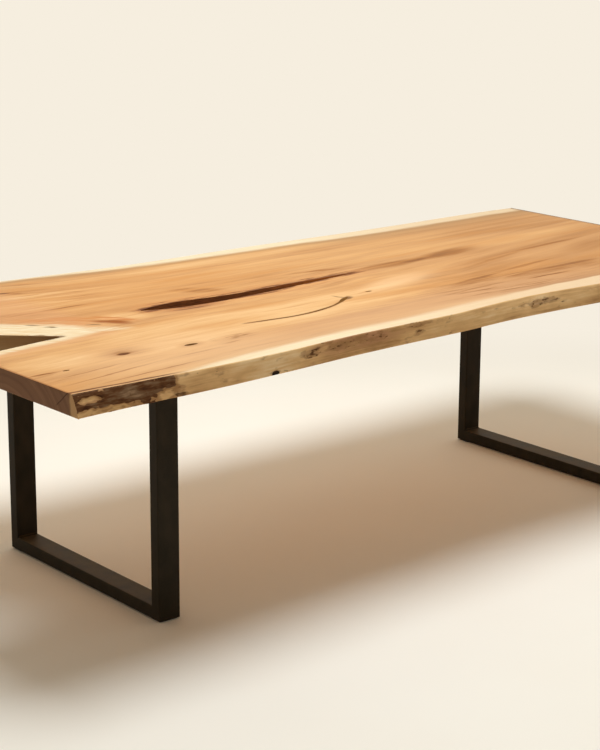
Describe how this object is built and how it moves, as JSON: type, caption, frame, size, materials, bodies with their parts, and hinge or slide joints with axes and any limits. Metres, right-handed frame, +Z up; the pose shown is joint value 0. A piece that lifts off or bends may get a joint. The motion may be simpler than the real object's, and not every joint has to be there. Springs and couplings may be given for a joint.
{
  "type": "live edge dining table",
  "caption": "Long dining table with a forked live edge wood slab, filled bark inclusion and crack, on black U-shaped steel tube legs bolted up through top plates.",
  "frame": {"origin": "on the floor midway between the legs, below the middle of the slab", "axes": "+X along the slab away from the forked end, +Y across it to the back, +Z up"},
  "size_m": [2.74, 1.29, 0.76],
  "materials": {
    "slab_wood": "satin clear oil over heartwood with pale sapwood edges",
    "dark_fill": "dark resin, levelled flush and polished",
    "leg_coat": "black satin powder coat",
    "zinc_steel": "bright zinc plate",
    "insert_brass": "machined",
    "glide_pad": "matte black"
  },
  "bodies": {
    "root": {"slab": "slab_wood", "inclusion_fill": "dark_fill", "crack_fill": "dark_fill", "knot_fills": "dark_fill", "left_leg_front_post": "leg_coat", "left_leg_rear_post": "leg_coat", "left_leg_floor_bar": "leg_coat", "left_leg_top_plate": "leg_coat", "left_leg_welds": "leg_coat", "left_leg_bolts": "zinc_steel", "left_leg_washers": "zinc_steel", "left_leg_inserts": "insert_brass", "left_leg_glides": "glide_pad", "right_leg_front_post": "leg_coat", "right_leg_rear_post": "leg_coat", "right_leg_floor_bar": "leg_coat", "right_leg_top_plate": "leg_coat", "right_leg_welds": "leg_coat", "right_leg_bolts": "zinc_steel", "right_leg_washers": "zinc_steel", "right_leg_inserts": "insert_brass", "right_leg_glides": "glide_pad"}
  },
  "joints": []
}
